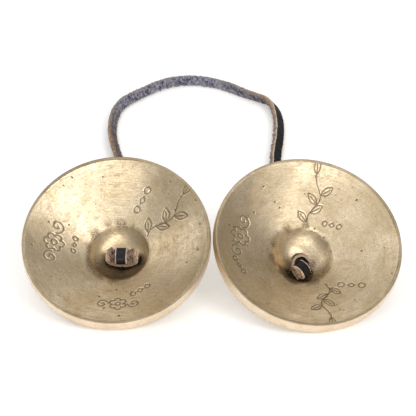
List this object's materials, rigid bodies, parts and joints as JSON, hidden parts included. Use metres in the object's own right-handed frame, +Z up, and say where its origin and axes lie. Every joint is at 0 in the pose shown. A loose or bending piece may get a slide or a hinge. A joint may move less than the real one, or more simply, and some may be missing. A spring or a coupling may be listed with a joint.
{
  "type": "hand cymbals",
  "caption": "A pair of small bossed brass hand cymbals on one leather strap, lying bowl side up, with the strap's rolled ends showing as knots in the bosses.",
  "frame": {"origin": "on the table, under the middle of the pair of cymbals", "axes": "+X runs from the left cymbal to the right one, +Y back to the strap's loop, +Z up from the table"},
  "size_m": [0.132, 0.1984, 0.0361],
  "materials": {
    "brass": "satin, turned and lightly tarnished",
    "leather": "black grain on one side, grey-brown suede on the other, raw tan edges"
  },
  "bodies": {
    "strap_left": {"strap_left": "leather"},
    "strap_right": {"strap_right": "leather"},
    "knot_left": {"knot_left": "leather"},
    "knot_right": {"knot_right": "leather"},
    "cymbal_left": {"cymbal_left": "brass"},
    "cymbal_right": {"cymbal_right": "brass"}
  },
  "joints": [
    {"name": "strap_fold", "type": "hinge", "parent": "strap_left", "child": "strap_right", "pos_m": [-0.00108, 0.16562, 0.00176], "axis": [0, 0, 1], "range_deg": [0, 90]},
    {"name": "left_swing", "type": "hinge", "parent": "strap_left", "child": "knot_left", "pos_m": [-0.03281, 0.00962, 0.00176], "axis": [1, 0, 0], "range_deg": [-28.3, 61.3]},
    {"name": "left_spin", "type": "hinge", "parent": "knot_left", "child": "cymbal_left", "pos_m": [-0.03281, 0.00962, 0.00176], "axis": [-0.0117, -0.4801, 0.8771], "continuous": true},
    {"name": "right_swing", "type": "hinge", "parent": "strap_right", "child": "knot_right", "pos_m": [0.03124, 0.008, 0.00176], "axis": [1, 0, 0], "range_deg": [-28.3, 61.3]},
    {"name": "right_spin", "type": "hinge", "parent": "knot_right", "child": "cymbal_right", "pos_m": [0.03124, 0.008, 0.00176], "axis": [0.1039, -0.4689, 0.8771], "continuous": true}
  ]
}
